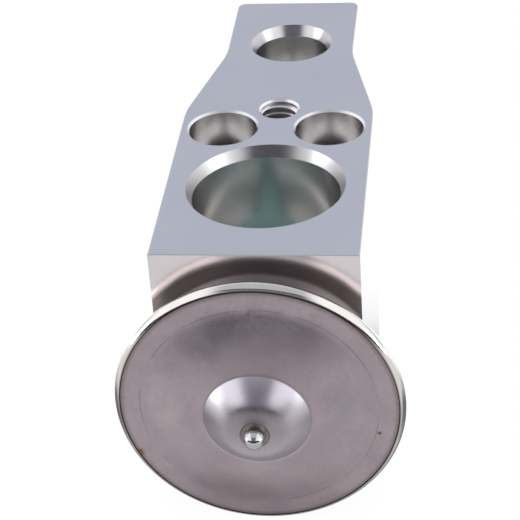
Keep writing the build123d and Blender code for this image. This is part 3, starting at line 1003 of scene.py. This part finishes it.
@dataclass
class ValveBlock:
    """The extruded and machined aluminium body.

    A face is flush with a plane within a small gap, faces one way past a high part of its normal,
    and leans where its normal is neither level nor upright.
    """

    half_width: float = 13.7
    half_neck: float = 9.65
    shoulder_y: float = 5.0
    neck_y: float = 23.0
    wall_band: float = 0.6
    flush: float = 0.05
    facing: float = 0.99
    leaning: float = 0.05
    ports: tuple[PortBore, ...] = (
        PortBore(0.0, -15.8, 10.91),
        PortBore(0.0, 26.5, 6.3),
        PortBore(0.0, 14.6, 7.65),
        PortBore(-7.64, 0.0, 5.17),
        PortBore(7.64, 0.0, 5.17),
        PortBore(0.0, 5.5, 3.0),
    )
    thread: ScrewThread = field(default_factory=ScrewThread)

    def build(self) -> None:
        """Dress the block and add its thread."""
        body = merged_copy("valve_block", "block_body")
        for surface in BlockSurface:
            body.data.materials.append(BLOCK_FINISHES[surface].material())
        for polygon in body.data.polygons:
            polygon.material_index = self.surface_of(polygon.center / MM, polygon.normal)
        self.thread.build()

    def surface_of(self, centre: Vector, normal: Vector) -> BlockSurface:
        """Say how a face of the block was made.

        Args:
            centre: The face's centre, in millimetres.
            normal: Its normal.

        Returns:
            The kind of surface.
        """
        on_face = centre.z > BLOCK_DEPTH - self.flush or centre.z < self.flush
        if on_face and abs(normal.z) > self.facing:
            return BlockSurface.MILLED
        if centre.y < HEAD_END_Y + self.flush and normal.y < -self.facing:
            return BlockSurface.FACED
        if centre.y > FAR_END_Y - self.flush and normal.y > self.facing:
            return BlockSurface.MILLED
        on_side = abs(centre.x) > self.outline_at(centre.y) - self.wall_band
        if on_side or centre.y > FAR_END_Y - self.wall_band:
            return BlockSurface.EXTRUDED if abs(normal.z) < self.leaning else BlockSurface.MILLED
        if self.leaning < abs(normal.z) < 1 - self.leaning and self.in_port(centre):
            return BlockSurface.LEAD_IN
        return BlockSurface.BORED

    def outline_at(self, y: float) -> float:
        """Return half the block's width at a place along it."""
        share = (y - self.shoulder_y) / (self.neck_y - self.shoulder_y)
        return self.half_width + min(1.0, max(0.0, share)) * (self.half_neck - self.half_width)

    def in_port(self, centre: Vector) -> bool:
        """Tell whether a point lies inside a port or a screw hole."""
        return any(math.hypot(centre.x - p.x, centre.y - p.y) < p.radius + self.flush for p in self.ports)


def smooth_step(value: float, low: float, high: float) -> float:
    """Return 0 below a step, 1 above it and a smooth rise between."""
    share = min(1.0, max(0.0, (value - low) / (high - low)))
    return share * share * (3.0 - 2.0 * share)


@dataclass
class ConeSwell:
    """Slight swell of the cone's outer flank, by its radii from the valve axis."""

    height: float = 0.4
    inner_radius: float = 2.0
    full_radius: float = 4.5
    fall_radius: float = 3.4
    foot_radius: float = 7.6
    parting_top_y: float = -42.8
    parting_foot_y: float = -39.3

    def shape(self, mesh: bpy.types.Mesh) -> None:
        """Raise the outer flank and leave the inside of the sheet as it is.

        Args:
            mesh: The upper cover.
        """
        for vertex in mesh.vertices:
            x, y, z = vertex.co / MM
            radius = math.hypot(x, z - AXIS_HEIGHT)
            if self.inner_radius < radius < self.foot_radius and y < self.parting_y(radius):
                rise = smooth_step(radius, self.inner_radius, self.full_radius)
                fall = smooth_step(radius, self.fall_radius, self.foot_radius)
                vertex.co.y -= self.height * rise * (1.0 - fall) * MM

    def parting_y(self, radius: float) -> float:
        """Return where the sheet's middle lies, between its outside and its inside."""
        share = (radius - self.inner_radius) / (self.foot_radius - self.inner_radius)
        return self.parting_top_y + share * (self.parting_foot_y - self.parting_top_y)


@dataclass
class PowerHead:
    """The pressed covers, their weld bead, the charge plug and what they close in."""

    swell: ConeSwell = field(default_factory=ConeSwell)

    def build(self) -> None:
        """Dress every piece of the head."""
        cover = merged_copy("head_upper_cover", "upper_cover", COVER_FINISH)
        self.swell.shape(cover.data)
        merged_copy("head_lower_cover", "lower_cover", UNDERSIDE_FINISH)
        merged_copy("rim_weld", "rim_bead", BEAD_FINISH)
        merged_copy("charge_plug", "charge_ball", BALL_FINISH)
        merged_copy("diaphragm", "corrugated_diaphragm", THIN_SHEET_FINISH)
        merged_copy("diaphragm_pad", "pad", SEAT_FINISH)
        merged_copy("head_seal", "neck_seal", RUBBER_FINISH)


@dataclass
class ClosingSpring:
    """The spring between the ball carrier and the adjusting screw, by its ends and its middle."""

    front_y: float = 25.3
    middle_y: float = 29.7
    rear_y: float = 34.1
    cut_width: float = 0.0001

    def build(self) -> None:
        """Stand both halves of the spring, each of which gives way to the piece it presses on."""
        for piece, kept_side, bodies, ends in (
            ("spring_front", -1.0, ("lift", "block"), (self.front_y, self.middle_y)),
            ("spring_rear", 1.0, ("block", "screw_travel"), (self.middle_y, self.rear_y)),
        ):
            half = merged_copy("valve_spring", piece, SPRING_FINISH, rides=False)
            self.keep_half(half.data, kept_side)
            start, end = ((0.0, y * MM, AXIS_HEIGHT * MM) for y in ends)
            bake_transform(half, *bodies, start=start, end=end)

    def keep_half(self, mesh: bpy.types.Mesh, kept_side: float) -> None:
        """Cut the wire at the spring's middle and close the cut.

        Args:
            mesh: The whole spring, which becomes one half.
            kept_side: -1 to keep the half towards the head, 1 to keep the other one.
        """
        sheet = bmesh.new()
        sheet.from_mesh(mesh)
        cut = bmesh.ops.bisect_plane(
            sheet,
            geom=[*sheet.verts, *sheet.edges, *sheet.faces],
            dist=self.cut_width * MM,
            plane_co=(0.0, self.middle_y * MM, 0.0),
            plane_no=(0.0, -kept_side, 0.0),
            clear_outer=True,
        )
        rim = [edge for edge in cut["geom_cut"] if isinstance(edge, bmesh.types.BMEdge)]
        cap = bmesh.ops.holes_fill(sheet, edges=rim)["faces"]
        for edge in {edge for face in cap for edge in face.edges}:
            edge.smooth = False
        bmesh.ops.triangulate(sheet, faces=cap)
        sheet.to_mesh(mesh)
        sheet.free()


@dataclass
class ValveTrain:
    """The rod, the ball with its seat and spring, and the adjusting screw."""

    spring: ClosingSpring = field(default_factory=ClosingSpring)

    def build(self) -> None:
        """Dress every piece between the head and the adjusting screw."""
        merged_copy("sensing_rod", "rod", ROD_FINISH)
        merged_copy("rod_sleeve", "sleeve", SLEEVE_FINISH)
        merged_copy("push_pin", "pin", SEAT_FINISH)
        merged_copy("rod_seal", "rod_ring", RUBBER_FINISH)
        merged_copy("seal_retainer", "retainer", THIN_SHEET_FINISH)
        merged_copy("seat_ring", "seat", SEAT_FINISH)
        merged_copy("valve_ball", "closing_ball", BALL_FINISH)
        merged_copy("ball_carrier", "carrier", SEAT_FINISH)
        merged_copy("damper_ring", "damper", THIN_SHEET_FINISH)
        self.spring.build()
        merged_copy("adjusting_screw", "adjuster", BRASS_FINISH)
        merged_copy("screw_seal", "adjuster_ring", RUBBER_FINISH)


@dataclass
class Softbox:
    """One soft studio lamp, by its place, its size and how bright its face is."""

    name: str
    place: Place
    width: float
    height: float
    radiance: float
    colour: Colour = (1.0, 1.0, 1.0)

    def build(self, aim: Vector) -> None:
        """Hang the lamp and turn it to the valve.

        Args:
            aim: The point that it lights, in metres.
        """
        lamp = bpy.data.lights.new(self.name, "AREA")
        lamp.shape = "RECTANGLE"
        lamp.size, lamp.size_y = self.width * MM, self.height * MM
        lamp.color = self.colour
        lamp.energy = self.radiance * math.pi * lamp.size * lamp.size_y
        holder = bpy.data.objects.new(self.name, lamp)
        holder.location = Vector(self.place) * MM
        holder.rotation_euler = (aim - holder.location).to_track_quat("-Z", "Y").to_euler()
        bpy.context.scene.collection.objects.link(holder)


@dataclass(frozen=True)
class FloorShade:
    """A patch of floor that mirrors see darker, alike to the left and the right of the valve."""

    x: float
    y: float
    reach_x: float
    reach_y: float
    share: float

    def patch(self, board: NodeBoard, spot: Socket) -> Socket:
        """Return how much light the patch takes away at a point."""
        stretch = (1 / self.reach_x, 1 / self.reach_y, 0.0)
        return board.math("MULTIPLY", board.near(spot, (self.x, self.y, 0.0), 1.0, stretch), self.share)


@dataclass
class Floor:
    """Plain pale floor that touches the head's rim and the block's far end.

    Diffuse rays see paper. Camera rays see it nearly white with a trace of the shadow. Mirrors
    see it dimmer in front of the valve than behind it, dark far in front, and shaded beside the
    head and under the block, though less so below the open suction bore.
    """

    half: float = 3000.0
    gap: float = 0.05
    slope: float = 0.031
    paper: Colour = (0.8, 0.8, 0.8)
    seen_light: float = 1.07
    seen_share: float = 0.88
    mirrored_share: float = 0.85
    mirrored_light: Step = Step(-20.0, 25.0, 0.79, 1.25)
    far_front: Step = Step(-300.0, -160.0, 0.2, 1.0)
    shades: tuple[FloorShade, ...] = (
        FloorShade(0.0, -20.0, 95.0, 31.0, 0.9),
        FloorShade(44.0, -32.0, 27.0, 27.0, 0.9),
        FloorShade(0.0, 6.0, 15.0, 52.0, 0.65),
    )
    bore_y: float = -15.8
    bore_reach: float = 15.0
    bore_share: float = 0.8

    def build(self) -> None:
        """Lay the floor and paint it."""
        sheet = bmesh.new()
        bmesh.ops.create_grid(sheet, x_segments=1, y_segments=1, size=self.half * MM)
        for vertex in sheet.verts:
            vertex.co.z = self.slope * (vertex.co.y - FAR_END_Y * MM) - self.gap * MM
        mesh = bpy.data.meshes.new("floor")
        sheet.to_mesh(mesh)
        sheet.free()
        floor = bpy.data.objects.new("floor", mesh)
        bpy.context.scene.collection.objects.link(floor)
        mesh.materials.append(self.material())
        floor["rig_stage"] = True

    def material(self) -> bpy.types.Material:
        """Build the floor's material.

        Returns:
            Paper and a glow, shared out by the kind of ray.
        """
        material = bpy.data.materials.new("floor_paper")
        material.use_nodes = True
        board = NodeBoard(material.node_tree)
        rays = board.add("LightPath").outputs
        seen = rays["Is Camera Ray"]
        mirrored = board.math("MAXIMUM", rays["Is Glossy Ray"], rays["Is Transmission Ray"])
        mirrored_glow = board.math("MULTIPLY", mirrored, self.mirrored_strength(board))
        strength = board.math("ADD", mirrored_glow, board.math("MULTIPLY", seen, self.seen_light))
        mirrored_part = board.math("MULTIPLY", mirrored, self.mirrored_share)
        share = board.math("ADD", mirrored_part, board.math("MULTIPLY", seen, self.seen_share))
        paper = board.add("BsdfDiffuse", {"Color": self.paper}).outputs["BSDF"]
        glow = board.add("Emission", {"Color": (1.0, 1.0, 1.0), "Strength": strength}).outputs["Emission"]
        blend = board.add("MixShader", {0: share, 1: paper, 2: glow})
        board.add("OutputMaterial", {"Surface": blend.outputs["Shader"]})
        return material

    def mirrored_strength(self, board: NodeBoard) -> Socket:
        """Say how bright mirrors see the floor.

        Args:
            board: The floor material's node tree.

        Returns:
            The glow's strength at the point that a ray meets.
        """
        spot = board.spot()
        _, y, _ = board.split(spot)
        open_floor = board.math(
            "MULTIPLY", board.rise(y, self.mirrored_light), board.rise(y, self.far_front)
        )
        folded = board.join(board.sideways(spot), y, 0.0)
        shade = board.most(dark.patch(board, folded) for dark in self.shades)
        bore = board.near(spot, (0.0, self.bore_y, 0.0), self.bore_reach)
        below_bore = board.math("SUBTRACT", 1.0, board.math("MULTIPLY", bore, self.bore_share))
        shade = board.math("MULTIPLY", shade, below_bore)
        return board.math("MULTIPLY", open_floor, board.math("SUBTRACT", 1.0, shade))


@dataclass
class LightTent:
    """Light tent with a bluish back, bright leaning sides, a grey roof, a dark front and a dim horizon.

    Its steps follow parts of the direction in which a ray leaves, which is 1 long. Camera rays
    see white, and diffuse rays see one even light.
    """

    back_wall: Colour = (0.63, 0.66, 0.73)
    low_gloom: Colour = (0.07, 0.065, 0.085)
    high_gloom: Colour = (0.22, 0.215, 0.245)
    roof: Colour = (0.52, 0.52, 0.54)
    side_wall: Colour = (1.08, 1.08, 1.08)
    seen: Colour = (1.0, 1.0, 1.0)
    even_light: Colour = (0.75, 0.75, 0.76)
    front: Step = Step(-0.25, 0.2, 1.0, 0.0)
    gloom_rise: Step = Step(0.3, 0.5)
    gloom_fall: Step = Step(0.6, 0.68, 1.0, 0.0)
    roof_edge: Step = Step(0.74, 0.84)
    wall_slant: float = 2.0
    wall_front: Step = Step(1.12, 1.24)
    wall_behind: Step = Step(0.0, 0.2)
    wall_lean: float = 0.3
    wall_edge: Step = Step(0.14, 0.36)
    horizon: Step = Step(0.0, 0.3, 0.42, 1.0)

    def build(self) -> None:
        """Hang the tent as the scene's world."""
        world = bpy.data.worlds.new("light_tent")
        world.use_nodes = True
        bpy.context.scene.world = world
        board = NodeBoard(world.node_tree)
        rays = board.add("LightPath").outputs
        direction = board.add("TexCoord").outputs["Generated"]
        _, _, z = board.split(direction)
        tent = board.blend(self.wall_share(board, direction), self.inside(board, direction), self.side_wall)
        tent = board.dimmed(tent, board.rise(z, self.horizon))
        tent = board.blend(rays["Is Camera Ray"], tent, self.seen)
        tent = board.blend(rays["Is Diffuse Ray"], tent, self.even_light)
        glow = board.add("Background", {"Color": tent, "Strength": 1.0})
        board.add("OutputWorld", {"Surface": glow.outputs["Background"]})

    def inside(self, board: NodeBoard, direction: Socket) -> Socket:
        """Colour the tent without its side walls.

        Args:
            board: The world's node tree.
            direction: Where a ray leaves to.

        Returns:
            The back wall, the dark front and the roof.
        """
        _, y, z = board.split(direction)
        level = board.math("MULTIPLY", board.rise(z, self.gloom_rise), board.rise(z, self.gloom_fall))
        gloom = board.blend(level, self.low_gloom, self.high_gloom)
        tent = board.blend(board.rise(y, self.front), self.back_wall, gloom)
        return board.blend(board.rise(z, self.roof_edge), tent, self.roof)

    def wall_share(self, board: NodeBoard, direction: Socket) -> Socket:
        """Say where the side walls are, which lean outwards and whose front edge slants.

        Args:
            board: The world's node tree.
            direction: Where a ray leaves to.

        Returns:
            Their share of the tent's colour.
        """
        _, y, z = board.split(direction)
        across = board.sideways(direction)
        slant = board.math("ADD", across, board.math("MULTIPLY", z, self.wall_slant))
        reach = board.most((board.rise(slant, self.wall_front), board.rise(y, self.wall_behind)))
        leaning = board.math("SUBTRACT", across, board.math("MULTIPLY", z, self.wall_lean))
        return board.math("MULTIPLY", board.rise(leaning, self.wall_edge), reach)


@dataclass
class PhotoCamera:
    """Camera at the photograph's angle, with its roll in degrees."""

    place: Place = (27.1, -223.2, 164.1)
    aim: Place = (-0.214, -25.0, 31.895)
    roll: float = -4.11
    lens: float = 124.75
    sensor: float = 36.0
    nearest: float = 10.0
    farthest: float = 20000.0

    def build(self) -> None:
        """Set the camera where the photograph was taken from."""
        lens = bpy.data.cameras.new("camera")
        lens.lens, lens.sensor_width = self.lens, self.sensor
        lens.clip_start, lens.clip_end = self.nearest * MM, self.farthest * MM
        camera = bpy.data.objects.new("camera", lens)
        camera.location = Vector(self.place) * MM
        forward = Vector(self.aim) * MM - camera.location
        roll = Quaternion((0.0, 0.0, 1.0), math.radians(self.roll))
        camera.rotation_mode = "QUATERNION"
        camera.rotation_quaternion = forward.to_track_quat("-Z", "Y") @ roll
        bpy.context.scene.collection.objects.link(camera)
        bpy.context.scene.camera = camera


@dataclass
class Studio:
    """Floor, light tent, lamps and camera."""

    floor: Floor = field(default_factory=Floor)
    tent: LightTent = field(default_factory=LightTent)
    camera: PhotoCamera = field(default_factory=PhotoCamera)
    aim: Place = (0.0, 0.0, 20.0)
    lamps: tuple[Softbox, ...] = (
        Softbox("left_softbox", (-560.0, -100.0, 70.0), 260.0, 150.0, 3.5),
        Softbox("right_softbox", (560.0, -140.0, 80.0), 260.0, 150.0, 3.5),
    )

    def build(self) -> None:
        """Set the whole studio up."""
        self.floor.build()
        self.tent.build()
        for lamp in self.lamps:
            lamp.build(Vector(self.aim) * MM)
        self.camera.build()
        bpy.context.scene.view_settings.view_transform = "Standard"


def corners(box: tuple[Vector, Vector]) -> list[list[float]]:
    """Return a box's two corners as plain lists."""
    return [list(corner) for corner in box]


def main() -> None:
    """Load the frame, dress the valve in order, set the studio up and work out the sizes."""
    logging.basicConfig(level=logging.INFO, format="%(name)s: %(message)s")
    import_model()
    cad_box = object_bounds()
    for assembly in (ValveBlock(), PowerHead(), ValveTrain(), Studio()):
        assembly.build()
        log.info("%s is done", type(assembly).__name__)
    {"cad": corners(cad_box), "visual": corners(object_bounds())}


if __name__ == "__main__":
    main()
